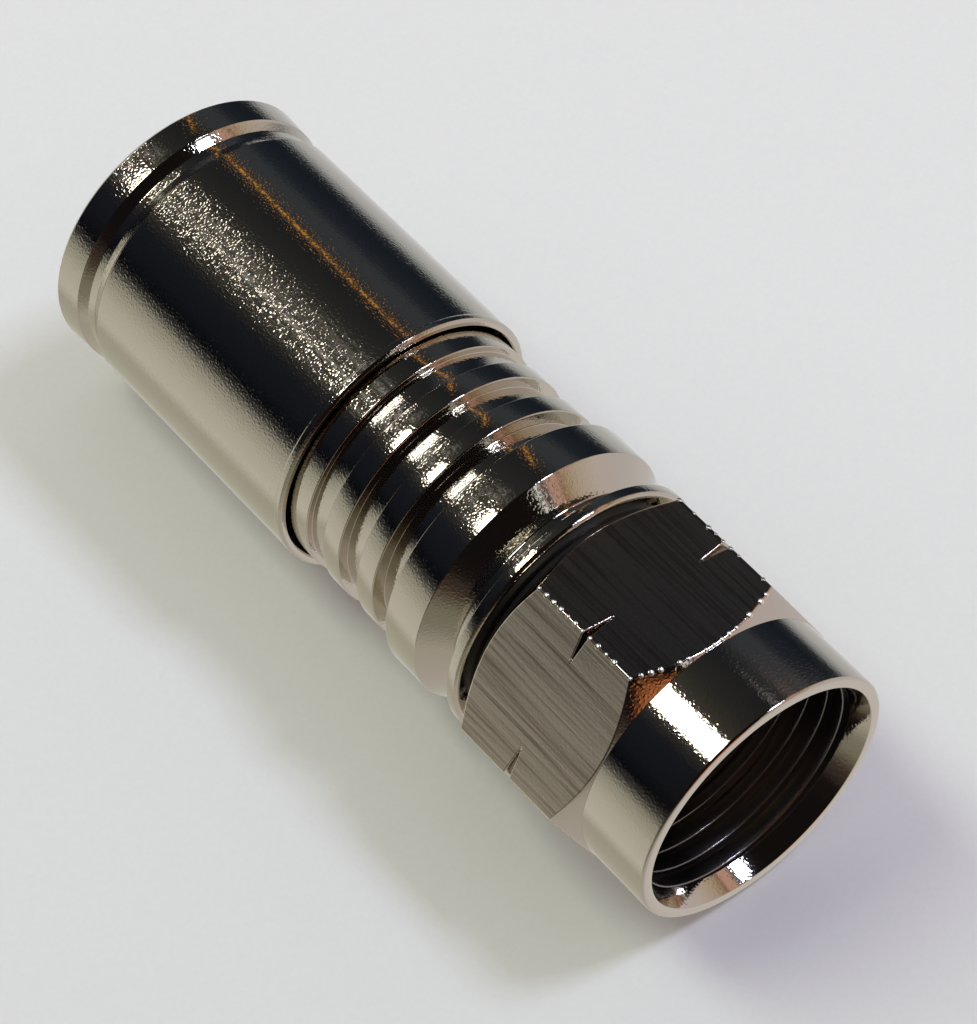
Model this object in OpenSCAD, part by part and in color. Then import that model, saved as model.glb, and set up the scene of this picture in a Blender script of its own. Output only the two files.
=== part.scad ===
// F connector for RG6 coaxial cable, compression type, as sold: the sleeve isn't pressed home yet.
// The cable enters at the floor (z = 0) and the threaded mouth of the nut looks up along +Z.

/* [Coupling nut] */
// Width across the flats of the hexagon
hex_flats = 11.11; // [10.9:0.01:11.3]
// Whole length of the nut
nut_len = 9.45; // [9.2:0.05:9.7]
// Length of the round barrel in front of the hexagon
barrel_len = 3.2; // [2.6:0.1:3.6]
// Diameter of the round barrel
barrel_d = 11.0; // [10.8:0.02:11.08]
// Major diameter of the 3/8-32 internal thread
thread_d = 9.525; // [9.5:0.005:9.55]
// Full depth of the thread, from the mouth
thread_depth = 6.9; // [6.4:0.05:6.9]
// Diameter of the mouth at its rim
mouth_d = 10.1; // [9.9:0.02:10.3]
// Depth of the tapered mouth ahead of the thread
mouth_depth = 0.8; // [0.4:0.05:1.2]
// Radius of the rounded outer edge of the rim
rim_round = 0.12; // [0.08:0.01:0.3]
// Distance of the V notch from the mouth
notch_from_mouth = 6.24; // [5.8:0.02:6.8]
// Angle of the hexagon's two chamfers, from its end faces
chamfer_deg = 38; // [30:1:40]
// How far the nut is turned on the post, from flats that are square to the frame
nut_turn = -2.9; // [-30:0.1:30]
// Diameter at the root of the V notch
notch_root_d = 11.64; // [11.5:0.02:12]
// Width of the V notch at the hexagon's corners
notch_w = 0.3; // [0.2:0.02:0.7]
// Thickness of the inward lip that the post's flange holds
lip_len = 1.0; // [0.8:0.05:1.1]

/* [Inner post] */
// Bore that takes the cable's foamed core
post_bore_d = 4.8; // [4.6:0.05:4.9]
// Outside of the thin tube that goes under the braid
post_tube_d = 5.5; // [5.3:0.05:5.6]
// Outside of the barb at the cable end
barb_d = 6.1; // [5.8:0.05:6.2]
// Length of the barb's cone
barb_len = 1.6; // [1.2:0.1:2]
// Diameter of the flange that carries the nut
flange_d = 8.4; // [8.1:0.05:8.5]
// Thickness of that flange
flange_len = 0.85; // [0.7:0.05:0.9]
// Diameter of the shoulder that the nut turns on
shoulder_d = 7.0; // [6.8:0.05:7.1]
// Diameter pressed into the body
press_d = 6.6; // [6.4:0.05:6.7]
// Whole length of the post
post_len = 18.3; // [17.6:0.1:18.6]

/* [Connector body] */
// Diameter of the gripping rings
ring_d = 10.64; // [10.5:0.02:10.66]
// Length of each gripping ring
ring_len = 0.91; // [0.8:0.01:1]
// Widths of the grooves between the rings, from the stop band towards the cable
groove_widths = [1.19, 1.07, 0.95]; // [0.9:0.01:1.25]
// Floor diameters of those grooves at their nut side
groove_floors = [9.74, 10.0, 10.36]; // [9.6:0.02:10.4]
// How much deeper each floor is at its cable side
floor_fall = 0.26; // [0.1:0.02:0.3]
// Diameter of the stop band that the sleeve ends against
band_d = 11.36; // [11.3:0.02:11.5]
// Length of the stop band
band_len = 1.75; // [1.5:0.05:1.9]
// Diameter of the turned flange beside the nut
seat_d = 11.24; // [11:0.02:11.3]
// Length of that flange
seat_len = 0.55; // [0.4:0.05:0.6]
// Diameter of the waist between flange and stop band
waist_d = 9.4; // [9.2:0.05:10.2]
// Diameter of the hub inside the nut
hub_d = 8.6; // [8.4:0.05:8.8]
// Room for the cable's jacket inside the body
jacket_room_d = 8.0; // [7.8:0.05:8.2]
// Wider bore at the cable end, where the ferrule is driven in
wedge_bore_d = 9.4; // [9.3:0.02:9.5]

/* [Compression sleeve] */
// Outside of the sleeve
sleeve_d = 11.52; // [11.5:0.02:11.7]
// Length of the sleeve
sleeve_len = 13.9; // [13.5:0.05:13.95]
// Outside of the collar at the cable end
collar_d = 11.72; // [11.6:0.02:11.8]
// Length of that collar
collar_len = 1.4; // [1.2:0.05:1.6]
// Root diameter of the shallow groove in front of the collar
groove_d = 11.12; // [11:0.02:11.3]
// Width of that groove
groove_len = 1.15; // [0.9:0.05:1.3]
// Bore that slides over the gripping rings
guide_d = 10.72; // [10.7:0.01:10.74]
// Hole for the cable in the rear wall
cable_hole_d = 8.3; // [8:0.05:8.4]
// Thickness of the rear wall
rear_wall = 0.9; // [0.8:0.05:1]

/* [Seal and ferrule] */
// Thickness of the rubber ring behind the nut
seal_thick = 0.84; // [0.7:0.02:0.88]
// Length of the plastic ferrule
ferrule_len = 6.1; // [5.6:0.05:6.3]
// Outside of the ferrule's nose
ferrule_nose_d = 9.2; // [9.1:0.02:9.24]
// Bore of the ferrule, just over the cable's jacket
ferrule_bore_d = 7.6; // [7.4:0.05:7.8]

/* [Hidden] */
$fn = 96;

overall_len = 33.9;
edge = 0.08;                 // broken edges of the turned pieces
slip = 0.05;                 // end play of the nut on each side of its lip

// Stations along the axis, from the mouth down to the floor
nut_back = overall_len - nut_len;
seat_top = nut_back - 0.55;                  // the seal ring shows in this gap
lip_back = nut_back + 0.55;
lip_front = lip_back + lip_len;
post_top = lip_front + slip + flange_len;
hub_top = lip_back - slip;
seat_back = seat_top - seat_len;
waist_len = 0.71;
neck_len = 0.96;
band_top = seat_back - waist_len - neck_len;
band_back = band_top - band_len;

body_back = 9.2;
wedge_end = 14.0;            // where the wide rear bore of the body stops
pocket_end = 21.5;           // floor of the jacket's room
seal_pocket_r = 5.2;         // room for the seal ring in the nut

// Height at which groove i begins, counted from the stop band
function groove_top(i) = i == 0 ? band_back : groove_top(i - 1) - groove_widths[i - 1] - ring_len;

// A ring turned from an outline of [radius, height] points
module turned(outline) {
    rotate_extrude() polygon(outline);
}

// Hexagon with both ends chamfered down to the barrel's diameter
module chamfered_hex() {
    corner_r = hex_flats / 2 / cos(30);
    small_r = barrel_d / 2;
    reach = 0.02;
    slope = (corner_r + reach - small_r) * tan(chamfer_deg);
    hex_top = overall_len - barrel_len;
    intersection() {
        translate([0, 0, nut_back]) rotate(nut_turn)
            cylinder(r = corner_r, h = hex_top - nut_back, $fn = 6);
        turned([[0, nut_back], [small_r, nut_back], [corner_r + reach, nut_back + slope],
                [corner_r + reach, hex_top - slope], [small_r, hex_top], [0, hex_top]]);
    }
}

module coupling_nut() {
    corner_r = hex_flats / 2 / cos(30);
    notch_z = overall_len - notch_from_mouth;
    thread_back = overall_len - thread_depth;
    lead_in = (mouth_d - thread_d) / 2;
    color("silver") difference() {
        union() {
            chamfered_hex();
            turned(concat([[0, lip_back], [barrel_d / 2, lip_back]],
                          [for (a = [0:30:90]) [barrel_d / 2 - rim_round * (1 - cos(a)),
                                                overall_len - rim_round * (1 - sin(a))]],
                          [[0, overall_len]]));
        }
        // V notch, which only reaches the corners
        turned([[notch_root_d / 2, notch_z], [corner_r + 0.2, notch_z - notch_w * 0.67],
                [corner_r + 0.2, notch_z + notch_w * 0.67]]);
        // Mouth, thread bore, relief, lip and the pocket for the seal ring
        turned([[0, nut_back - 1], [seal_pocket_r, nut_back - 1], [seal_pocket_r, lip_back],
                [shoulder_d / 2 + 0.08, lip_back], [shoulder_d / 2 + 0.08, lip_front],
                [mouth_d / 2, lip_front], [mouth_d / 2, thread_back - lead_in],
                [thread_d / 2, thread_back], [thread_d / 2, overall_len - mouth_depth],
                [mouth_d / 2, overall_len], [mouth_d / 2, overall_len + 1], [0, overall_len + 1]]);
    }
}

// Flanged tube that the nut turns on; its barb goes under the cable's braid
module inner_post() {
    bottom = post_top - post_len;
    bore_r = post_bore_d / 2;
    color("lightsteelblue")
        turned([[bore_r, bottom], [bore_r + 0.12, bottom], [barb_d / 2, bottom + barb_len],
                [post_tube_d / 2, bottom + barb_len + 0.15], [post_tube_d / 2, pocket_end],
                [press_d / 2, pocket_end], [press_d / 2, hub_top], [shoulder_d / 2, hub_top],
                [shoulder_d / 2, lip_front + slip], [flange_d / 2, lip_front + slip],
                [flange_d / 2, post_top - edge], [flange_d / 2 - edge, post_top],
                [bore_r + 2 * edge, post_top], [bore_r, post_top - 2 * edge]]);
}

// Rubber ring stretched over the hub, its inner side flattened on it
module nut_seal_ring() {
    section_r = seal_thick / 2;
    flat = 0.04;
    color("black") rotate_extrude() intersection() {
        translate([hub_d / 2 + section_r - flat, seat_top + section_r + 0.02])
            circle(r = section_r, $fn = 40);
        translate([hub_d / 2, seat_top]) square([2, 2]);
    }
}

// Turned body: hub, flange, waist, stop band and the rings that the sleeve rides on
module connector_body() {
    band_r = band_d / 2;
    ring_r = ring_d / 2;
    last = len(groove_widths) - 1;
    // Sloping floor, step up to the ring, and the ring as far as the next groove
    grooves = [for (i = [0:last])
        let(front = groove_top(i), step = front - groove_widths[i], floor_r = groove_floors[i] / 2,
            ring_end = i == last ? body_back + 0.5 : step - ring_len)
        each [[floor_r, front], [floor_r - floor_fall / 2, step], [ring_r - edge / 2, step],
              [ring_r, step - edge / 2], [ring_r, ring_end + edge / 2], [ring_r - edge / 2, ring_end]]];
    outside = concat([
            [hub_d / 2 - edge, hub_top], [hub_d / 2, hub_top - edge], [hub_d / 2, seat_top],
            [seat_d / 2 - 2 * edge, seat_top], [seat_d / 2, seat_top - 2 * edge],
            [seat_d / 2, seat_back], [waist_d / 2 + 0.05, seat_back],
            [waist_d / 2, seat_back - waist_len], [band_r - edge / 2, band_top],
            [band_r, band_top - edge], [band_r, band_back + edge], [band_r - edge, band_back]],
        grooves, [[ring_r - 0.3, body_back]]);
    inside = [[wedge_bore_d / 2, body_back], [wedge_bore_d / 2, wedge_end],
              [jacket_room_d / 2, wedge_end + 0.7], [jacket_room_d / 2, pocket_end],
              [press_d / 2, pocket_end], [press_d / 2, hub_top]];
    color("gainsboro") turned(concat(outside, inside));
}

// Sleeve that is pressed forward over the rings to grip the cable
module compression_sleeve() {
    sleeve_r = sleeve_d / 2;
    collar_r = collar_d / 2;
    lip_r = 5.45;            // widened mouth of the sleeve
    lip_depth = 0.9;
    ferrule_seat_r = 5.0;
    groove_front = collar_len + groove_len;
    color("silver")
        turned([[cable_hole_d / 2 + 0.3, 0], [collar_r - 2 * edge, 0], [collar_r, 2 * edge],
                [sleeve_r + 0.03, collar_len - edge], [sleeve_r - 0.03, collar_len],
                [groove_d / 2, collar_len + 0.35], [groove_d / 2, groove_front - 0.45],
                [sleeve_r - 0.08, groove_front - 0.1], [sleeve_r, groove_front],
                [sleeve_r, sleeve_len - 0.4], [sleeve_r + 0.02, sleeve_len - 0.3],
                [sleeve_r + 0.02, sleeve_len - edge], [sleeve_r - edge, sleeve_len],
                [lip_r, sleeve_len], [lip_r, sleeve_len - lip_depth],
                [guide_d / 2, sleeve_len - lip_depth - 0.2], [guide_d / 2, 3.0],
                [ferrule_seat_r, 3.0], [ferrule_seat_r, rear_wall],
                [cable_hole_d / 2, rear_wall], [cable_hole_d / 2, 0.3]]);
}

// Plastic ferrule: a foot held in the sleeve, and a nose that wedges into the body
module gripping_ferrule() {
    bore_r = ferrule_bore_d / 2;
    foot_len = 1.6;
    top = rear_wall + ferrule_len;
    color("ivory")
        turned([[bore_r + 0.2, rear_wall], [4.95, rear_wall], [4.95, rear_wall + foot_len],
                [ferrule_nose_d / 2, rear_wall + foot_len + 0.3], [ferrule_nose_d / 2, top - 1.2],
                [ferrule_nose_d / 2 - 0.3, top], [bore_r, top], [bore_r, rear_wall + 0.2]]);
}

coupling_nut();
inner_post();
nut_seal_ring();
connector_body();
compression_sleeve();
gripping_ferrule();
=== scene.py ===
import math

import bpy
from mathutils import Matrix, Vector


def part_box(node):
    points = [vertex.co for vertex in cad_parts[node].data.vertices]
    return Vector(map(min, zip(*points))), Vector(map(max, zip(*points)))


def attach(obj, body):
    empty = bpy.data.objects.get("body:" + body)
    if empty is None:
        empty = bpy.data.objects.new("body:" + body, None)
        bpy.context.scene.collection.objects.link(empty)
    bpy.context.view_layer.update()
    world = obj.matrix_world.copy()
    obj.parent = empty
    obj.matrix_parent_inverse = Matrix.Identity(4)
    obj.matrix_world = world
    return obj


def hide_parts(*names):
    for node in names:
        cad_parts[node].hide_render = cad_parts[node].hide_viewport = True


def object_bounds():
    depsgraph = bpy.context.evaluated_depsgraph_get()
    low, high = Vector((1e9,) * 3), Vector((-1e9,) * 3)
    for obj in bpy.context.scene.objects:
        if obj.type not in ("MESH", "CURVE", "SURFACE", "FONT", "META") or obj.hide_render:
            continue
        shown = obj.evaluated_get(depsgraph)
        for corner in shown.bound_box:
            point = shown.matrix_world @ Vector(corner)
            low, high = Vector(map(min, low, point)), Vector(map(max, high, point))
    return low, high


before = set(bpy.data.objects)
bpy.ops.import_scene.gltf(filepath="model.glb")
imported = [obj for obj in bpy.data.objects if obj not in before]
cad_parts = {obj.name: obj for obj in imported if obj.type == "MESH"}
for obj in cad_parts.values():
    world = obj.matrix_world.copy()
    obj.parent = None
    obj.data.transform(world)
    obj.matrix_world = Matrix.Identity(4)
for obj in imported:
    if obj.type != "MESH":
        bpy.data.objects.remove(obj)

MM = 0.001
cad_low, cad_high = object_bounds()

# ---------------------------------------------------------------------------------------------
# Camera. The connector lies on its side on white paper and is seen from its nut end, so the
# camera is rolled against the part's own upright axis.
camera_data = bpy.data.cameras.new("camera")
camera_data.lens = 140.4
camera_data.clip_start = 0.005
camera_data.clip_end = 20.0
camera = bpy.data.objects.new("camera", camera_data)
bpy.context.scene.collection.objects.link(camera)
camera_place = Vector((54.4, -117.0, 85.7)) * MM
camera_right = Vector((-0.7757, 0.0, 0.6312))
camera_up = Vector((-0.5067, -0.5964, -0.6226))
camera_back = Vector((0.3764, -0.8027, 0.4626))
camera.matrix_world = Matrix.Translation(camera_place) @ Matrix(
    (camera_right, camera_up, camera_back)).transposed().to_4x4()
bpy.context.scene.camera = camera


# ---------------------------------------------------------------------------------------------
# The white paper that the connector lies on, touching the sleeve's collar and the nut. It shows
# on its upper side only, so that the connector can be looked at from below as well.
def srgb(code):
    """Linear colour with alpha, from a hex code such as #dddee0."""
    parts = [int(code[i:i + 2], 16) / 255 for i in (1, 3, 5)]
    return [c / 12.92 if c <= 0.04045 else ((c + 0.055) / 1.055) ** 2.4 for c in parts] + [1.0]


def add(tree, kind, inputs=None, **settings):
    """Adds a node with its settings; each input is a value, a socket to link, or a list of sockets."""
    node = tree.nodes.new(kind)
    for name, value in settings.items():
        setattr(node, name, value)
    for name, value in (inputs or {}).items():
        links = value if isinstance(value, list) and isinstance(value[0], bpy.types.NodeSocket) else [value]
        for link in links:
            if isinstance(link, bpy.types.NodeSocket):
                tree.links.new(link, node.inputs[name])
            else:
                node.inputs[name].default_value = link
    return node


def new_material(name):
    """An empty node material, its tree and its output node."""
    material = bpy.data.materials.new(name)
    material.use_nodes = True
    material.node_tree.nodes.clear()
    return material, material.node_tree, material.node_tree.nodes.new("ShaderNodeOutputMaterial")


paper_material, tree, out = new_material("white_copy_paper")
# Matt and nearly even: fibres are too thin to show, so flocks of them 0.2 mm across stand in for them
place = add(tree, "ShaderNodeTexCoord")
fibres = add(tree, "ShaderNodeTexNoise", {
    "Vector": place.outputs["Object"], "Scale": 1 / (0.2 * MM), "Detail": 3.0})
tone = add(tree, "ShaderNodeMix", {
    0: fibres.outputs["Fac"], 6: srgb("#e2e3e4"), 7: srgb("#e9e9ea")}, data_type="RGBA")
# Painted shade: the paper's colour darkens by a tenth over 45 mm, towards the near side of the connector,
# where the light falls off
nearer = add(tree, "ShaderNodeVectorMath", {
    0: place.outputs["Object"], 1: (0.63, 0.0, 0.78)}, operation="DOT_PRODUCT")
fall = add(tree, "ShaderNodeMapRange", {
    "Value": nearer.outputs["Value"], "From Min": 0.0, "From Max": 0.045, "To Max": 0.1})
paper_falloff_shade = add(tree, "ShaderNodeMix", {
    0: fall.outputs[0], 6: tone.outputs[2], 7: (0.0, 0.0, 0.0, 1.0)}, data_type="RGBA")
# One cell in five, 4 mm wide, holds a speck of dust, up to 0.16 mm across
cells = add(tree, "ShaderNodeTexVoronoi", {"Vector": place.outputs["Object"], "Scale": 1 / (4.0 * MM)})
chosen = add(tree, "ShaderNodeSeparateColor", {0: cells.outputs["Color"]})
size = add(tree, "ShaderNodeMapRange", {
    "Value": chosen.outputs[0], "From Min": 0.8, "From Max": 1.0, "To Min": 0.0, "To Max": 0.02})
speck = add(tree, "ShaderNodeMath", {
    0: cells.outputs["Distance"], 1: size.outputs[0]}, operation="LESS_THAN")
dusty = add(tree, "ShaderNodeMix", {
    0: speck.outputs[0], 6: paper_falloff_shade.outputs[2], 7: srgb("#6c6660")}, data_type="RGBA")
matt = add(tree, "ShaderNodeBsdfDiffuse", {"Color": dusty.outputs[2]})
clear = add(tree, "ShaderNodeBsdfTransparent")
side = add(tree, "ShaderNodeNewGeometry")
mix = add(tree, "ShaderNodeMixShader", {
    0: side.outputs["Backfacing"], 1: matt.outputs[0], 2: clear.outputs[0]})
tree.links.new(mix.outputs[0], out.inputs["Surface"])

paper_y = cad_high[1] + 0.01 * MM
paper_half = 0.4
paper_mesh = bpy.data.meshes.new("paper")
paper_mesh.from_pydata([(x, paper_y, z) for x, z in (
    (-paper_half, -paper_half), (paper_half, -paper_half),
    (paper_half, paper_half), (-paper_half, paper_half))], [], [(0, 1, 2, 3)])
paper = bpy.data.objects.new("paper", paper_mesh)
bpy.context.scene.collection.objects.link(paper)
paper_mesh.materials.append(paper_material)
# The room, made below, already holds the paper as the plating mirrors it
paper.visible_glossy = False
paper.visible_diffuse = False
paper.visible_shadow = False


# ---------------------------------------------------------------------------------------------
# Lamps. A wide patch of sky in the window lights the paper, and the plating mirrors the window's
# bright panes. A cooler lamp on the ceiling lights both.
def soft_lamp(name, azimuth, elevation, width_deg, height_deg, radiance, colour):
    """A rectangular lamp far off in one direction; azimuth 0 is -Y, and 90 is +X."""
    distance = 3.0
    a, e = math.radians(azimuth), math.radians(elevation)
    towards = Vector((math.sin(a) * math.cos(e), -math.cos(a) * math.cos(e), math.sin(e)))
    data = bpy.data.lights.new(name, "AREA")
    data.shape = "RECTANGLE"
    data.size = 2 * distance * math.tan(math.radians(width_deg) / 2)
    data.size_y = 2 * distance * math.tan(math.radians(height_deg) / 2)
    data.energy = radiance * math.pi * data.size * data.size_y
    data.color = srgb(colour)[:3]
    lamp = bpy.data.objects.new(name, data)
    bpy.context.scene.collection.objects.link(lamp)
    facing = towards.to_track_quat("Z", "Y").to_matrix().to_4x4()
    lamp.matrix_world = Matrix.Translation(towards * distance) @ facing
    lamp.visible_camera = False
    return lamp


sky = soft_lamp("window_sky", 20.9, -28.0, 18, 34, 6.25, "#f2ffe4")
sky.visible_glossy = False
for name, azimuth, elevation, width, height, radiance in (
        ("upper_panes", 23, -16, 17, 18, 7.0), ("lower_panes", 14, -41.0, 24, 6, 3.2)):
    panes = soft_lamp(name, azimuth, elevation, width, height, radiance, "#fffaf2")
    panes.visible_diffuse = False
soft_lamp("ceiling_lamp", -30.0, 15.0, 10, 12, 29.6, "#dae1ff")

# ---------------------------------------------------------------------------------------------
# The room, as the plating mirrors it, by bearing in degrees: 0 is -Y and 90 is +X. It is dark in
# front, and past 90 degrees on either side it gives way to the pale paper.
low_room = [  # Mirrored by the upright walls
    (-180, "#bdbbac"), (-142, "#d4d5d6"), (-110, "#bfc1c3"), (-101, "#919699"),
    (-95, "#30343a"), (-86, "#1b222c"), (-66, "#252b35"), (-58, "#3c4148"), (-46, "#3c4148"),
    (-38, "#333639"), (-31, "#22252a"), (-6, "#303131"), (8, "#403f39"), (28, "#403f39"),
    (45, "#1c2028"), (66, "#171b22"), (79, "#090c13"),
    (86, "#464646"), (90, "#7c7b75"), (95, "#a8a79c"), (112, "#cccac0"), (134, "#d8d6cc"),
    (146, "#b9b6a9"), (180, "#bdbbac")]
high_room = [  # Mirrored by the steps, chamfers and cones: a pink patch and a narrow white one stand out
    (-180, "#c4bebb"), (-154, "#dcd8d6"), (-100, "#cfcacc"), (-80, "#d2c8c6"), (-62, "#c4b4a2"),
    (-54, "#b0967a"), (-51, "#84685a"), (-49, "#d0a698"), (-42, "#d0a698"),
    (-38, "#545150"), (-34, "#545150"), (-32, "#ffffff"), (-30, "#ffffff"),
    (-27, "#201b1a"), (-20, "#14110f"), (50, "#151214"), (74, "#1c1716"), (82, "#3a322f"),
    (92, "#4c4036"), (108, "#868474"), (122, "#908c80"), (140, "#bab5ac"), (180, "#c4bebb")]
world = bpy.data.worlds.new("room")
bpy.context.scene.world = world
world.use_nodes = True
tree = world.node_tree
tree.nodes.clear()
way = add(tree, "ShaderNodeTexCoord")
parts = add(tree, "ShaderNodeSeparateXYZ", {0: way.outputs["Generated"]})
ahead = add(tree, "ShaderNodeMath", {0: parts.outputs["Y"], 1: -1.0}, operation="MULTIPLY")
bearing = add(tree, "ShaderNodeMath", {
    0: parts.outputs["X"], 1: ahead.outputs[0]}, operation="ARCTAN2")
share = add(tree, "ShaderNodeMapRange", {
    "Value": bearing.outputs[0], "From Min": -math.pi, "From Max": math.pi})
looks = []
for stops in (low_room, high_room):
    ramp = add(tree, "ShaderNodeValToRGB", {0: share.outputs[0]})
    for degrees, code in stops[1:-1]:
        ramp.color_ramp.elements.new(degrees / 360 + 0.5).color = srgb(code)
    ramp.color_ramp.elements[0].color = srgb(stops[0][1])
    ramp.color_ramp.elements[-1].color = srgb(stops[-1][1])
    looks.append(ramp.outputs[0])
height = add(tree, "ShaderNodeMapRange", {
    "Value": parts.outputs["Z"], "From Min": -0.3, "From Max": 0.05}, interpolation_type="SMOOTHSTEP")
sides = add(tree, "ShaderNodeMix", {0: height.outputs[0], 6: looks[0], 7: looks[1]}, data_type="RGBA")
# Past the nut's end the room is orange, and the cones of the nut mirror that
overhead = add(tree, "ShaderNodeMapRange", {
    "Value": parts.outputs["Z"], "From Min": 0.935, "From Max": 0.965})
round_about = add(tree, "ShaderNodeMix", {
    0: overhead.outputs[0], 6: sides.outputs[2], 7: srgb("#d08050")}, data_type="RGBA")
# A copper-coloured door frame, far off: a thin leaning line that only the sleeve and the rings mirror
lean = add(tree, "ShaderNodeMath", {
    0: parts.outputs["Z"], 1: -1.5, 2: bearing.outputs[0]}, operation="MULTIPLY_ADD")
off_line = add(tree, "ShaderNodeMath", {0: lean.outputs[0], 1: math.radians(8.5)}, operation="SUBTRACT")
width = add(tree, "ShaderNodeMath", {0: off_line.outputs[0]}, operation="ABSOLUTE")
thin = add(tree, "ShaderNodeMapRange", {
    "Value": width.outputs[0], "From Min": math.radians(0.5), "From Max": math.radians(1.8),
    "To Min": 1.0, "To Max": 0.0})
foot = add(tree, "ShaderNodeMapRange", {
    "Value": parts.outputs["Z"], "From Min": -0.50, "From Max": -0.465, "To Min": 1.0, "To Max": 0.0})
line = add(tree, "ShaderNodeMath", {0: thin.outputs[0], 1: foot.outputs[0]}, operation="MULTIPLY")
mirrored = add(tree, "ShaderNodeMix", {
    0: line.outputs[0], 6: round_about.outputs[2], 7: srgb("#d89a48")}, data_type="RGBA")
# The lower window, broken up by leaves outside it: dapples 5 degrees wide, which the grain scatters
leaves = add(tree, "ShaderNodeTexNoise", {
    "Vector": way.outputs["Generated"], "Scale": 12.0, "Detail": 2.0})
gaps = add(tree, "ShaderNodeMapRange", {
    "Value": leaves.outputs["Fac"], "From Min": 0.50, "From Max": 0.70, "To Max": 0.5})
from_middle = add(tree, "ShaderNodeMath", {
    0: bearing.outputs[0], 1: math.radians(14)}, operation="SUBTRACT")
sideways = add(tree, "ShaderNodeMath", {0: from_middle.outputs[0]}, operation="ABSOLUTE")
window = add(tree, "ShaderNodeMapRange", {
    "Value": sideways.outputs[0], "From Min": math.radians(6), "From Max": math.radians(24),
    "To Min": 1.0, "To Max": 0.0}, interpolation_type="SMOOTHSTEP")
sill = add(tree, "ShaderNodeMapRange", {
    "Value": parts.outputs["Z"], "From Min": -0.44, "From Max": -0.40, "To Min": 1.0, "To Max": 0.0})
below = add(tree, "ShaderNodeMath", {0: window.outputs[0], 1: sill.outputs[0]}, operation="MULTIPLY")
dapples = add(tree, "ShaderNodeMath", {0: gaps.outputs[0], 1: below.outputs[0]}, operation="MULTIPLY")
dappled = add(tree, "ShaderNodeMix", {0: 1.0, 6: mirrored.outputs[2], 7: dapples.outputs[0]},
              data_type="RGBA", blend_type="ADD")
# Matt surfaces are lit by an even pale room, and the camera sees a pale backdrop past the paper
kind = add(tree, "ShaderNodeLightPath")
open_air = add(tree, "ShaderNodeBackground", {"Color": srgb("#bbb2b1"), "Strength": 1.0})
seen = add(tree, "ShaderNodeBackground", {"Color": srgb("#dcdddf"), "Strength": 1.0})
glossy = add(tree, "ShaderNodeBackground", {"Color": dappled.outputs[2], "Strength": 1.0})
first = add(tree, "ShaderNodeMixShader", {
    0: kind.outputs["Is Glossy Ray"], 1: open_air.outputs[0], 2: glossy.outputs[0]})
last = add(tree, "ShaderNodeMixShader", {
    0: kind.outputs["Is Camera Ray"], 1: first.outputs[0], 2: seen.outputs[0]})
add(tree, "ShaderNodeOutputWorld", {"Surface": last.outputs[0]})
bpy.context.scene.view_settings.view_transform = "Standard"


# ---------------------------------------------------------------------------------------------
# Connector body: one brass turning with a hub, a flange beside the nut, a waist, the stop band
# and the gripping rings that the sleeve rides on. It is nickel plated after turning.
def lathe_tree():
    """Turns an outline of edges, which holds radius in X and height in Y, round the Z axis."""
    tree = bpy.data.node_groups.new("turned_on_a_lathe", "GeometryNodeTree")
    for name, kind in (("Outline", "Geometry"), ("Steps round", "Int"), ("Steps in an edge", "Int"),
                       ("Finish", "Material")):
        tree.interface.new_socket(name, in_out="INPUT", socket_type="NodeSocket" + kind)
    tree.interface.new_socket("Turned piece", in_out="OUTPUT", socket_type="NodeSocketGeometry")
    given = add(tree, "NodeGroupInput")
    guide_r = 1.0 * MM
    outline = add(tree, "GeometryNodeMeshToCurve", {"Mesh": given.outputs["Outline"]})
    corner = add(tree, "GeometryNodeInputNamedAttribute", {"Name": "edge_radius"}, data_type="FLOAT")
    eased = add(tree, "GeometryNodeFilletCurve", {
        "Curve": outline.outputs[0], "Count": given.outputs["Steps in an edge"],
        "Radius": corner.outputs["Attribute"], "Limit Radius": True}, mode="POLY")
    # The sweep lays an outline's Y downwards from its guide circle, so the outline is flipped first
    placed = add(tree, "GeometryNodeTransform", {
        "Geometry": eased.outputs[0], "Translation": (-guide_r, 0, 0), "Scale": (1, -1, 1)})
    guide = add(tree, "GeometryNodeCurvePrimitiveCircle", {
        "Resolution": given.outputs["Steps round"], "Radius": guide_r}, mode="RADIUS")
    upright = add(tree, "GeometryNodeSetCurveNormal", {"Curve": guide.outputs[0]}, mode="Z_UP")
    swept = add(tree, "GeometryNodeCurveToMesh", {
        "Curve": upright.outputs[0], "Profile Curve": placed.outputs[0]})
    smooth = add(tree, "GeometryNodeSetShadeSmooth", {"Geometry": swept.outputs[0]})
    real = add(tree, "GeometryNodeRealizeInstances", {"Geometry": smooth.outputs[0]})
    finish = add(tree, "GeometryNodeSetMaterial", {
        "Geometry": real.outputs[0], "Material": given.outputs["Finish"]})
    add(tree, "NodeGroupOutput", {"Turned piece": finish.outputs[0]})
    return tree


def run_tree(piece, tree, **inputs):
    """Puts a Geometry Nodes tree on a piece, with its inputs set by their identifiers."""
    modifier = piece.modifiers.new(tree.name, "NODES")
    modifier.node_group = tree
    sockets = {s.name: s.identifier for s in tree.interface.items_tree if s.in_out == "INPUT"}
    for name, value in inputs.items():
        modifier[sockets[name.replace("_", " ")]] = value


def finished(piece):
    """Swaps the piece's mesh for its evaluated one and clears its modifiers."""
    shape = bpy.data.meshes.new_from_object(piece.evaluated_get(bpy.context.evaluated_depsgraph_get()))
    piece.modifiers.clear()
    piece.data = shape
    shape.name = piece.name
    return piece


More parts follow.
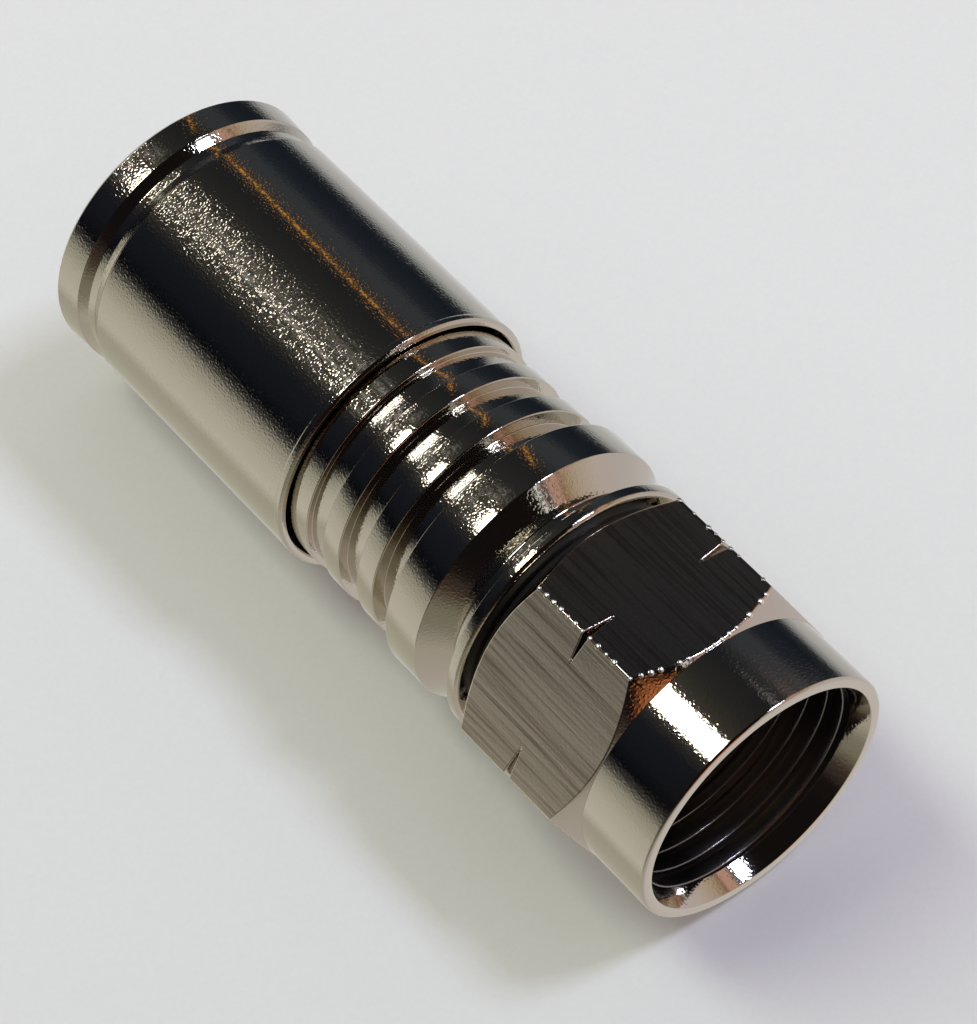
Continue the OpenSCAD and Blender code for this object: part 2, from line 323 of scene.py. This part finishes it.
def outline_piece(name, points):
    """A new piece that holds only a closed outline of (radius, height, edge radius) points, in mm."""
    mesh = bpy.data.meshes.new(name)
    mesh.from_pydata([(r * MM, z * MM, 0) for r, z, _ in points],
                     [(i, (i + 1) % len(points)) for i in range(len(points))], [])
    eased = mesh.attributes.new("edge_radius", "FLOAT", "POINT")
    eased.data.foreach_set("value", [e * MM for _, _, e in points])
    piece = bpy.data.objects.new(name, mesh)
    bpy.context.scene.collection.objects.link(piece)
    return piece


lathe = lathe_tree()
ROUND_STEPS = 288


def turned(name, points, material):
    """A piece turned from a closed outline, with its faces' normals weighted by area."""
    piece = outline_piece(name, points)
    run_tree(piece, lathe, Steps_round=ROUND_STEPS, Steps_in_an_edge=5, Finish=material)
    piece.modifiers.new("even shading", "WEIGHTED_NORMAL").keep_sharp = False
    return finished(piece)


def nickel(name, plate="#cfc8bb", grain_mm=0.13, grain_um=1.2, wave_um=1.0, roughness=0.06, lines_um=0.0):
    """Bright nickel plating: a warm grey mirror with pips on it, which glitter in the window's light.

    The pips are drawn 0.1 to 0.2 mm across, coarser than plating has, so that they show.
    """
    material, tree, out = new_material(name)
    place = add(tree, "ShaderNodeTexCoord")
    grain = add(tree, "ShaderNodeTexNoise", {
        "Vector": place.outputs["Object"], "Scale": 1 / (grain_mm * MM), "Detail": 0.0})
    pips = add(tree, "ShaderNodeMapRange", {
        "Value": grain.outputs["Fac"], "From Min": 0.48, "From Max": 0.78})
    # The turned metal under the plating waves a little, every 1.4 mm
    waves = add(tree, "ShaderNodeTexNoise", {
        "Vector": place.outputs["Object"], "Scale": 1 / (1.4 * MM), "Detail": 2.0, "Roughness": 0.5})
    broad = add(tree, "ShaderNodeBump", {
        "Height": waves.outputs["Fac"], "Distance": wave_um * 1e-6, "Strength": 1.0})
    bump = add(tree, "ShaderNodeBump", {
        "Height": pips.outputs[0], "Distance": grain_um * 1e-6, "Strength": 1.0,
        "Normal": broad.outputs[0]})
    normal, colour = bump, None
    if lines_um:
        # Drawing lines along the bar, about 0.17 mm apart and 7 mm long, with painted shade down in
        # them: the metal's colour is darker there. Real ones are finer, and would not show
        along = add(tree, "ShaderNodeMapping", {
            "Vector": place.outputs["Object"],
            "Scale": (1 / (0.12 * MM), 1 / (0.12 * MM), 1 / (5.0 * MM))})
        streaks = add(tree, "ShaderNodeTexNoise", {
            "Vector": along.outputs[0], "Scale": 0.7, "Detail": 4.0, "Roughness": 0.6})
        normal = add(tree, "ShaderNodeBump", {
            "Height": streaks.outputs["Fac"], "Distance": lines_um * 1e-6, "Strength": 1.0,
            "Normal": bump.outputs[0]})
        line_hollow_shade = add(tree, "ShaderNodeMapRange", {
            "Value": streaks.outputs["Fac"], "From Min": 0.3, "From Max": 0.55})
        colour = add(tree, "ShaderNodeMix", {
            0: line_hollow_shade.outputs[0], 6: srgb("#a39383"), 7: srgb(plate)}, data_type="RGBA")
    wear = add(tree, "ShaderNodeMapRange", {
        "Value": waves.outputs["Fac"], "From Min": 0.3, "From Max": 0.7,
        "To Min": roughness * 0.92, "To Max": roughness * 1.08})
    shade = add(tree, "ShaderNodeBsdfPrincipled", {
        "Base Color": colour.outputs[2] if colour else srgb(plate), "Metallic": 1.0,
        "Roughness": wear.outputs[0], "Normal": normal.outputs[0]})
    tree.links.new(shade.outputs[0], out.inputs["Surface"])
    return material


body_low, body_high = (corner[2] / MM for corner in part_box("connector_body"))
ring_r, band_r, seat_r, waist_r, hub_r = 5.32, 5.68, 5.62, 4.7, 4.3
ring_len = 0.91
seat_top = body_high - 1.05
seat_back = seat_top - 0.55
waist_back = seat_back - 0.71
band_top = waist_back - 0.96
band_back = band_top - 1.75
wedge_bore_r, wedge_end = 4.7, 14.0
jacket_room_r, pocket_end = 4.0, 21.5
press_r = 3.3
# Width and floor radius of each groove, from the stop band towards the cable
grooves = [(1.19, 4.87), (1.07, 5.0), (0.95, 5.18)]
floor_fall = 0.13

outline = [(press_r, body_high, 0), (hub_r, body_high, 0.06), (hub_r, seat_top, 0),
           (seat_r, seat_top, 0.2), (seat_r, seat_back, 0.06), (waist_r + 0.05, seat_back, 0.05),
           (waist_r, waist_back, 0.12), (band_r, band_top - 0.04, 0.09), (band_r, band_back, 0.09)]
z = band_back
for width, floor_r in grooves:
    outline += [(floor_r, z, 0.05), (floor_r - floor_fall, z - width, 0.04), (ring_r, z - width, 0.06)]
    z -= width + ring_len
    if (width, floor_r) != grooves[-1]:
        outline += [(ring_r, z, 0.05)]
outline += [(ring_r, body_low + 0.5, 0.05), (ring_r - 0.3, body_low, 0.05), (wedge_bore_r, body_low, 0.05),
            (wedge_bore_r, wedge_end, 0.05), (jacket_room_r, wedge_end + 0.7, 0.05),
            (jacket_room_r, pocket_end, 0.05), (press_r, pocket_end, 0)]
body_nickel = nickel("body_bright_nickel", grain_mm=0.09, grain_um=2.2)
body = turned("connector_body_turned", outline, body_nickel)
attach(body, "body")
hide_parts("connector_body")


# ---------------------------------------------------------------------------------------------
# Inner post: a flanged brass tube pressed into the body. Its flange holds the nut, and its thin
# barbed end goes between the cable's foamed core and its braid. Nickel plated.
post_low, post_high = (corner[2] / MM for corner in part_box("inner_post"))
post_bore_r, tube_r, barb_r = 2.4, 2.75, 3.05
shoulder_r, flange_r = 3.5, 4.2
flange_back = post_high - 0.85
outline = [(post_bore_r, post_high, 0.1), (flange_r, post_high, 0.07), (flange_r, flange_back, 0.04),
           (shoulder_r, flange_back, 0), (shoulder_r, body_high, 0), (press_r, body_high, 0),
           (press_r, pocket_end, 0), (tube_r, pocket_end, 0.03), (tube_r, post_low + 1.75, 0.05),
           (barb_r, post_low + 1.6, 0.05), (post_bore_r + 0.12, post_low, 0.02),
           (post_bore_r, post_low, 0.03)]
# A satin mirror, duller than the outside. That is a guess, as the post can't be seen.
post_nickel = nickel("post_nickel_plate", plate="#d3ccc0", grain_mm=0.2, grain_um=1.0, roughness=0.16)
post = turned("inner_post_turned", outline, post_nickel)
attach(post, "body")
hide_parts("inner_post")


# ---------------------------------------------------------------------------------------------
# Seal ring: a black rubber ring stretched over the body's hub, in the gap behind the nut. Moulded,
# with its inner side flattened where it grips the hub.
seal_low, seal_high = (corner[2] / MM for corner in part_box("nut_seal_ring"))
section_r = (seal_high - seal_low) / 2
seal_z = (seal_low + seal_high) / 2
seal_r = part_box("nut_seal_ring")[1][0] / MM - section_r
section_sides = 12
# The flat inner side, a hair off the hub
flat_r = hub_r + 0.002
outline = []
for step in range(section_sides):
    turn = -math.tau * (step + 0.5) / section_sides
    outline.append((max(seal_r + section_r * math.cos(turn), flat_r),
                    seal_z + section_r * math.sin(turn), 0.1))
seal_rubber, tree, out = new_material("seal_black_rubber")
# Satin rubber: dark and soft in its highlights, with a fine mould grain of 0.05 mm
place = add(tree, "ShaderNodeTexCoord")
grain = add(tree, "ShaderNodeTexNoise", {
    "Vector": place.outputs["Object"], "Scale": 1 / (0.05 * MM), "Detail": 2.0})
bump = add(tree, "ShaderNodeBump", {"Height": grain.outputs["Fac"], "Distance": 4e-6, "Strength": 1.0})
tone = add(tree, "ShaderNodeMix", {
    0: grain.outputs["Fac"], 6: srgb("#0c0c0d"), 7: srgb("#1b1b1c")}, data_type="RGBA")
shade = add(tree, "ShaderNodeBsdfPrincipled", {
    "Base Color": tone.outputs[2], "Roughness": 0.5, "Normal": bump.outputs[0]})
tree.links.new(shade.outputs[0], out.inputs["Surface"])
seal = turned("nut_seal_ring_moulded", outline, seal_rubber)
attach(seal, "body")
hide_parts("nut_seal_ring")


# ---------------------------------------------------------------------------------------------
# Compression sleeve: turned brass tube with a collar and a shallow groove at the cable end, nickel
# plated over a fine orange-peel grain. A tool presses it home along the body's rings.
sleeve_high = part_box("compression_sleeve")[1][2] / MM
collar_r, sleeve_r, groove_r = 5.86, 5.76, 5.56
lip_r, lip_bore_r, guide_r = 5.78, 5.45, 5.36
ferrule_seat_r, rear_wall, cable_hole_r = 5.0, 0.9, 4.15
outline = [(lip_bore_r, sleeve_high - 0.06, 0.02), (lip_bore_r + 0.06, sleeve_high, 0.02),
           (lip_r - 0.1, sleeve_high, 0.02), (lip_r, sleeve_high - 0.1, 0.03),
           (lip_r, sleeve_high - 0.3, 0.05), (sleeve_r, sleeve_high - 0.35, 0.05),
           (sleeve_r, 2.55, 0.05), (sleeve_r - 0.08, 2.45, 0.05),
           (groove_r, 2.1, 0.12), (groove_r, 1.75, 0.12), (collar_r - 0.13, 1.4, 0.04),
           (collar_r - 0.07, 1.32, 0.03), (collar_r, 0.16, 0.08), (collar_r - 0.16, 0, 0.08),
           (cable_hole_r + 0.3, 0, 0.06), (cable_hole_r, 0.3, 0.06), (cable_hole_r, rear_wall, 0.04),
           (ferrule_seat_r, rear_wall, 0.05), (ferrule_seat_r, 3.0, 0.03), (guide_r, 3.0, 0.03),
           (guide_r, sleeve_high - 1.1, 0.03), (lip_bore_r, sleeve_high - 0.9, 0.03)]
sleeve_nickel = nickel("sleeve_bright_nickel", plate="#cec7ba", grain_mm=0.09, grain_um=2.8)
sleeve = turned("compression_sleeve_turned", outline, sleeve_nickel)
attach(sleeve, "sleeve")
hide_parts("compression_sleeve")


# ---------------------------------------------------------------------------------------------
# Gripping ferrule: a moulded ring of natural white acetal inside the sleeve. It is driven into the
# body's rear bore when the sleeve is pressed, and squeezes the cable's jacket.
ferrule_low, ferrule_high = (corner[2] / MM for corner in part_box("gripping_ferrule"))
ferrule_bore_r, foot_r, nose_r = 3.8, 4.95, 4.6
outline = [(ferrule_bore_r, ferrule_high, 0.1), (nose_r - 0.3, ferrule_high, 0.1),
           (nose_r, ferrule_high - 1.2, 0.1), (nose_r, 2.8, 0.05), (foot_r, 2.5, 0.05),
           (foot_r, ferrule_low, 0.05), (ferrule_bore_r, ferrule_low, 0.12)]
ferrule_plastic, tree, out = new_material("ferrule_natural_acetal")
# Slightly clouded, waxy white with soft highlights, and a mould grain of 0.08 mm
place = add(tree, "ShaderNodeTexCoord")
clouds = add(tree, "ShaderNodeTexNoise", {
    "Vector": place.outputs["Object"], "Scale": 1 / (1.2 * MM), "Detail": 3.0})
grain = add(tree, "ShaderNodeTexNoise", {
    "Vector": place.outputs["Object"], "Scale": 1 / (0.08 * MM), "Detail": 1.0})
bump = add(tree, "ShaderNodeBump", {"Height": grain.outputs["Fac"], "Distance": 3e-6, "Strength": 1.0})
tone = add(tree, "ShaderNodeMix", {
    0: clouds.outputs["Fac"], 6: srgb("#d8d3c6"), 7: srgb("#e4e1d8")}, data_type="RGBA")
shade = add(tree, "ShaderNodeBsdfPrincipled", {
    "Base Color": tone.outputs[2], "Roughness": 0.42, "Normal": bump.outputs[0], "IOR": 1.48,
    "Subsurface Weight": 0.15, "Subsurface Scale": 0.4 * MM})
tree.links.new(shade.outputs[0], out.inputs["Surface"])
ferrule = turned("gripping_ferrule_moulded", outline, ferrule_plastic)
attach(ferrule, "sleeve")
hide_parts("gripping_ferrule")


# ---------------------------------------------------------------------------------------------
# Coupling nut: cut from 7/16 inch hexagonal brass bar. The barrel, the chamfers, the V notch in the
# corners and the bore are turned, and the flats are the bar's own. Nickel plated; its inward lip
# turns on the post's shoulder, behind the flange.
def nut_tree():
    """A turned shape cut by a hexagonal bar, whose faces stay as the flats in a finish of their own."""
    tree = bpy.data.node_groups.new("turned_from_hexagonal_bar", "GeometryNodeTree")
    for name, kind in (("Outline", "Geometry"), ("Steps round", "Int"), ("Steps in an edge", "Int"),
                       ("Corner radius", "Float"), ("Bar length", "Float"), ("Bar turn", "Float"),
                       ("Bore radius", "Float"), ("Finish", "Material"), ("Flat finish", "Material"),
                       ("Bore finish", "Material")):
        tree.interface.new_socket(name, in_out="INPUT", socket_type="NodeSocket" + kind)
    tree.interface.new_socket("Nut", in_out="OUTPUT", socket_type="NodeSocketGeometry")
    given = add(tree, "NodeGroupInput")
    shape = add(tree, "GeometryNodeGroup", {
        "Outline": given.outputs["Outline"], "Steps round": given.outputs["Steps round"],
        "Steps in an edge": given.outputs["Steps in an edge"],
        "Finish": given.outputs["Finish"]}, node_tree=lathe)
    bar = add(tree, "GeometryNodeMeshCylinder", {
        "Vertices": 6, "Radius": given.outputs["Corner radius"], "Depth": given.outputs["Bar length"]})
    turn = add(tree, "ShaderNodeCombineXYZ", {"Z": given.outputs["Bar turn"]})
    turned_bar = add(tree, "GeometryNodeTransform", {
        "Geometry": bar.outputs["Mesh"], "Rotation": turn.outputs[0]})
    drawn = add(tree, "GeometryNodeSetMaterial", {
        "Geometry": turned_bar.outputs[0], "Material": given.outputs["Flat finish"]})
    cut = add(tree, "GeometryNodeMeshBoolean", {"Mesh 2": [shape.outputs[0], drawn.outputs[0]]},
              operation="INTERSECT", solver="EXACT")
    clean = add(tree, "GeometryNodeMergeByDistance", {
        "Geometry": cut.outputs[0], "Distance": 0.004 * MM})
    smooth = add(tree, "GeometryNodeSetShadeSmooth", {"Geometry": clean.outputs[0]})
    real = add(tree, "GeometryNodeRealizeInstances", {"Geometry": smooth.outputs[0]})
    place = add(tree, "GeometryNodeInputPosition")
    level = add(tree, "ShaderNodeVectorMath", {0: place.outputs[0], 1: (1, 1, 0)}, operation="MULTIPLY")
    radius = add(tree, "ShaderNodeVectorMath", {0: level.outputs[0]}, operation="LENGTH")
    inside = add(tree, "ShaderNodeMath", {
        0: radius.outputs["Value"], 1: given.outputs["Bore radius"]}, operation="LESS_THAN")
    bored = add(tree, "GeometryNodeSetMaterial", {
        "Geometry": real.outputs[0], "Selection": inside.outputs[0],
        "Material": given.outputs["Bore finish"]})
    add(tree, "NodeGroupOutput", {"Nut": bored.outputs[0]})
    return tree


nut_low, nut_high = (corner[2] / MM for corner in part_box("coupling_nut"))
barrel_r = 5.5
corner_r = 11.11 / 2 / math.cos(math.radians(30))
bar_turn = math.radians(-2.9)
# The outline's corners stand out past the bar, which cuts them off
beyond_r = corner_r + 0.3
chamfer_angle = math.radians(38)
chamfer = (beyond_r - barrel_r) * math.tan(chamfer_angle)
hex_high = nut_high - 3.2
notch_z, notch_root_r = nut_high - 6.24, 5.82
notch_slope = 0.253
notch_half = (beyond_r - notch_root_r) * notch_slope
lip_back, lip_front, nut_lip_r, seal_room_r = nut_low + 0.55, nut_low + 1.55, 3.58, 5.2
mouth_r, thread_r = 5.05, 9.525 / 2
lead_in = mouth_r - thread_r
thread_back, thread_front = nut_high - 6.9, nut_high - 0.8
outline = [(mouth_r, nut_high, 0.04), (barrel_r, nut_high, 0.12), (barrel_r, hex_high, 0.03),
           (beyond_r, hex_high - chamfer, 0), (beyond_r, notch_z + notch_half, 0),
           (notch_root_r, notch_z, 0.02), (beyond_r, notch_z - notch_half, 0),
           (beyond_r, nut_low + chamfer, 0), (barrel_r, nut_low, 0.0), (seal_room_r, nut_low, 0.04),
           (seal_room_r, lip_back, 0.03), (nut_lip_r, lip_back, 0.04), (nut_lip_r, lip_front, 0.04),
           (mouth_r, lip_front, 0.03), (mouth_r, thread_back - lead_in, 0.03),
           (thread_r, thread_back, 0.03), (thread_r, thread_front, 0.05)]
nut_nickel = nickel("nut_bright_nickel", plate="#cfc7bb", grain_mm=0.1, grain_um=1.5)
# The flats keep the bar's drawing lines under the plating, which spread what they mirror sideways
flat_nickel = nickel("nut_drawn_flats_nickel", plate="#e4d7c8", grain_mm=0.12, grain_um=0.4, wave_um=0.3,
                     roughness=0.09, lines_um=2.5)
# Painted shade: in the bore, nearer the axis than the radius below, the plating's colour is painted dark for
# the shade deep inside, and it is rougher
bore_shaded_nickel = nickel("nut_bore_painted_shade_nickel", plate="#8a8684", grain_mm=0.12, grain_um=3.0, roughness=0.22)
shaded_bore_r = 4.8
# The bar's middle is at the origin, so it is long enough to reach past the nut
bar_length = 90
nut = outline_piece("coupling_nut_cut", outline)
run_tree(nut, nut_tree(), Steps_round=ROUND_STEPS, Steps_in_an_edge=4, Corner_radius=corner_r * MM,
         Bar_length=bar_length * MM, Bar_turn=bar_turn, Bore_radius=shaded_bore_r * MM, Finish=nut_nickel,
         Flat_finish=flat_nickel, Bore_finish=bore_shaded_nickel)
bevel = nut.modifiers.new("broken_edges", "BEVEL")
bevel.width = 0.045 * MM
bevel.segments = 3
bevel.limit_method = "ANGLE"
bevel.angle_limit = math.radians(26)
bevel.use_clamp_overlap = False
nut.modifiers.new("even shading", "WEIGHTED_NORMAL").keep_sharp = False
finished(nut)
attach(nut, "nut")
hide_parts("coupling_nut")


# ---------------------------------------------------------------------------------------------
# Nodules on the nut's edges: nickel plating grows thicker on a sharp edge and can leave a row of tiny
# domes there, which glint one by one. They are on two corners and the front arc of the flat between,
# and are drawn 0.14 to 0.25 mm across, coarser than real ones, so that they show.
def nodule_tree():
    """Beads squashed to domes along guide lines, with some left out and each of its own size."""
    tree = bpy.data.node_groups.new("plating_nodules", "GeometryNodeTree")
    for name, kind in (("Guides", "Geometry"), ("Spacing", "Float"), ("Bead radius", "Float"),
                       ("Dome share", "Float"), ("Share kept", "Float"), ("Seed", "Int"),
                       ("Finish", "Material")):
        tree.interface.new_socket(name, in_out="INPUT", socket_type="NodeSocket" + kind)
    tree.interface.new_socket("Beads", in_out="OUTPUT", socket_type="NodeSocketGeometry")
    given = add(tree, "NodeGroupInput")
    lines = add(tree, "GeometryNodeMeshToCurve", {"Mesh": given.outputs["Guides"]})
    steps = add(tree, "GeometryNodeResampleCurve", {
        "Curve": lines.outputs[0], "Length": given.outputs["Spacing"]}, mode="LENGTH")
    kept = add(tree, "FunctionNodeRandomValue", {
        "Probability": given.outputs["Share kept"], "Seed": given.outputs["Seed"]}, data_type="BOOLEAN")
    share = add(tree, "FunctionNodeRandomValue", {
        "Min": 0.55, "Max": 1.0, "Seed": given.outputs["Seed"]}, data_type="FLOAT")
    width = add(tree, "ShaderNodeMath", {
        0: share.outputs[1], 1: given.outputs["Bead radius"]}, operation="MULTIPLY")
    rise = add(tree, "ShaderNodeMath", {
        0: width.outputs[0], 1: given.outputs["Dome share"]}, operation="MULTIPLY")
    size = add(tree, "ShaderNodeCombineXYZ", {
        0: width.outputs[0], 1: width.outputs[0], 2: rise.outputs[0]})
    outwards = add(tree, "GeometryNodeInputNamedAttribute", {"Name": "outwards"}, data_type="FLOAT_VECTOR")
    upright = add(tree, "FunctionNodeAlignRotationToVector", {"Vector": outwards.outputs[0]}, axis="Z")
    bead = add(tree, "GeometryNodeMeshIcoSphere", {"Radius": 1.0, "Subdivisions": 3})
    set_on = add(tree, "GeometryNodeInstanceOnPoints", {
        "Points": steps.outputs[0], "Selection": kept.outputs[3], "Instance": bead.outputs[0],
        "Rotation": upright.outputs[0], "Scale": size.outputs[0]})
    real = add(tree, "GeometryNodeRealizeInstances", {"Geometry": set_on.outputs[0]})
    smooth = add(tree, "GeometryNodeSetShadeSmooth", {"Geometry": real.outputs[0]})
    finish = add(tree, "GeometryNodeSetMaterial", {
        "Geometry": smooth.outputs[0], "Material": given.outputs["Finish"]})
    add(tree, "NodeGroupOutput", {"Beads": finish.outputs[0]})
    return tree


# The guides lie just under the edges, and each dome rises along the middle of its two faces
bead_r, sink = 0.125, 0.02
notch_clear = 0.2
# Corners count from +X, a sixth of a turn each
corners = (4, 5)
corner_drop = (corner_r - barrel_r) * math.tan(chamfer_angle)
points, ways, edges = [], [], []
for number in corners:
    corner = math.radians(60 * number) + bar_turn
    out_way = Vector((math.cos(corner), math.sin(corner), 0))
    for low_z, high_z in ((nut_low + corner_drop, notch_z - notch_clear),
                          (notch_z + notch_clear, hex_high - corner_drop)):
        edges.append((len(points), len(points) + 1))
        points += [(corner_r - sink) * out_way + Vector((0, 0, z)) for z in (low_z, high_z)]
        ways += [out_way, out_way]
middle = math.radians(60 * corners[0] + 30) + bar_turn
flat_way = Vector((math.cos(middle), math.sin(middle), 0))
arc_half, arc_step = 9, 3
for step in range(-arc_half, arc_half + 1):
    off = math.radians(arc_step * step)
    r = corner_r * math.cos(math.radians(30)) / math.cos(off)
    round_way = Vector((math.cos(middle + off), math.sin(middle + off), 0))
    cone_way = round_way * math.sin(chamfer_angle) + Vector((0, 0, math.cos(chamfer_angle)))
    out_way = (flat_way + cone_way).normalized()
    if step > -arc_half:
        edges.append((len(points) - 1, len(points)))
    edge_z = hex_high - (r - barrel_r) * math.tan(chamfer_angle)
    points.append(round_way * r + Vector((0, 0, edge_z)) - sink * out_way)
    ways.append(out_way)
guides = bpy.data.meshes.new("nut_edge_nodules")
guides.from_pydata([p * MM for p in points], edges, [])
outwards = guides.attributes.new("outwards", "FLOAT_VECTOR", "POINT")
outwards.data.foreach_set("vector", [v for way in ways for v in way])
nodules = bpy.data.objects.new("nut_edge_nodules", guides)
bpy.context.scene.collection.objects.link(nodules)
# Satin, so that each dome shows one soft glint. Its metal is painted paler than the rest of the plating, a
# painted highlight that makes each glint whiter
bead_nickel = nickel("nodule_satin_nickel", plate="#f6f2ea", roughness=0.3)
run_tree(nodules, nodule_tree(), Spacing=0.36 * MM, Bead_radius=bead_r * MM, Dome_share=0.36, Share_kept=0.8,
         Seed=7, Finish=bead_nickel)
finished(nodules)
# The sphere node leaves an empty first material slot, which no face uses
nodules.data.materials.pop(index=0)
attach(nodules, "nut")


# ---------------------------------------------------------------------------------------------
# Port thread: the 3/8-32 UNEF internal thread of the nut, which is left out of the CAD. One ridge
# winds up the bore, and each of its ends runs out into the wall.
def thread_tree():
    """A ridge of trapezoid section that winds up inside a bore; its profile fades at both ends."""
    tree = bpy.data.node_groups.new("internal_thread", "GeometryNodeTree")
    for name, kind in (("Turns", "Float"), ("Height", "Float"), ("Start height", "Float"),
                       ("Wall radius", "Float"), ("Ridge height", "Float"), ("Root width", "Float"),
                       ("Crest width", "Float"), ("Run out", "Float"), ("Steps in a turn", "Int"),
                       ("Finish", "Material")):
        tree.interface.new_socket(name, in_out="INPUT", socket_type="NodeSocket" + kind)
    tree.interface.new_socket("Ridge", in_out="OUTPUT", socket_type="NodeSocketGeometry")
    given = add(tree, "NodeGroupInput")
    helix = add(tree, "GeometryNodeCurveSpiral", {
        "Resolution": given.outputs["Steps in a turn"], "Rotations": given.outputs["Turns"],
        "Start Radius": given.outputs["Wall radius"], "End Radius": given.outputs["Wall radius"],
        "Height": given.outputs["Height"], "Reverse": False})
    lift = add(tree, "ShaderNodeCombineXYZ", {"Z": given.outputs["Start height"]})
    raised = add(tree, "GeometryNodeTransform", {
        "Geometry": helix.outputs[0], "Translation": lift.outputs[0]})
    upright = add(tree, "GeometryNodeSetCurveNormal", {"Curve": raised.outputs[0]}, mode="Z_UP")
    section = add(tree, "GeometryNodeCurvePrimitiveQuadrilateral", {
        "Bottom Width": given.outputs["Root width"], "Top Width": given.outputs["Crest width"],
        "Offset": 0.0, "Height": given.outputs["Ridge height"]}, mode="TRAPEZOID")
    eased = add(tree, "GeometryNodeFilletCurve", {
        "Curve": section.outputs[0], "Count": 3, "Radius": 0.05 * MM, "Limit Radius": True}, mode="POLY")
    # A tenth of the ridge stays sunk in the wall, so that no gap opens between the two
    inward = add(tree, "ShaderNodeMath", {
        0: given.outputs["Ridge height"], 1: -0.4}, operation="MULTIPLY")
    shift = add(tree, "ShaderNodeCombineXYZ", {"X": inward.outputs[0]})
    placed = add(tree, "GeometryNodeTransform", {
        "Geometry": eased.outputs[0], "Translation": shift.outputs[0], "Rotation": (0, 0, math.pi / 2)})
    along = add(tree, "GeometryNodeSplineParameter")
    rise = add(tree, "ShaderNodeMapRange", {
        "Value": along.outputs["Factor"], "From Max": given.outputs["Run out"], "To Min": 0.02})
    from_end = add(tree, "ShaderNodeMath", {0: 1.0, 1: along.outputs["Factor"]}, operation="SUBTRACT")
    fall = add(tree, "ShaderNodeMapRange", {
        "Value": from_end.outputs[0], "From Max": given.outputs["Run out"], "To Min": 0.02})
    fade = add(tree, "ShaderNodeMath", {0: rise.outputs[0], 1: fall.outputs[0]}, operation="MINIMUM")
    swept = add(tree, "GeometryNodeCurveToMesh", {
        "Curve": upright.outputs[0], "Profile Curve": placed.outputs[0], "Scale": fade.outputs[0],
        "Fill Caps": True})
    smooth = add(tree, "GeometryNodeSetShadeSmooth", {"Geometry": swept.outputs[0]})
    real = add(tree, "GeometryNodeRealizeInstances", {"Geometry": smooth.outputs[0]})
    finish = add(tree, "GeometryNodeSetMaterial", {
        "Geometry": real.outputs[0], "Material": given.outputs["Finish"]})
    add(tree, "NodeGroupOutput", {"Ridge": finish.outputs[0]})
    return tree


pitch = 25.4 / 32
# The ridge's middle line is half a pitch shorter than the thread, mostly at the back
turns = (thread_front - thread_back) / pitch - 0.5
start_z = thread_back + pitch * 0.4
ridge, root_width, crest_width = 0.43, 0.69, 0.2
# The piece only carries the tree, which winds the ridge from its sizes
thread = outline_piece("port_thread", [(thread_r, thread_back, 0), (thread_r, thread_front, 0)])
# The ridge takes the bore's finish, with its painted shade
run_tree(thread, thread_tree(), Turns=turns, Height=turns * pitch * MM, Start_height=start_z * MM,
         Wall_radius=thread_r * MM, Ridge_height=ridge * MM, Root_width=root_width * MM,
         Crest_width=crest_width * MM, Run_out=0.04, Steps_in_a_turn=120, Finish=bore_shaded_nickel)
finished(thread)
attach(thread, "nut")
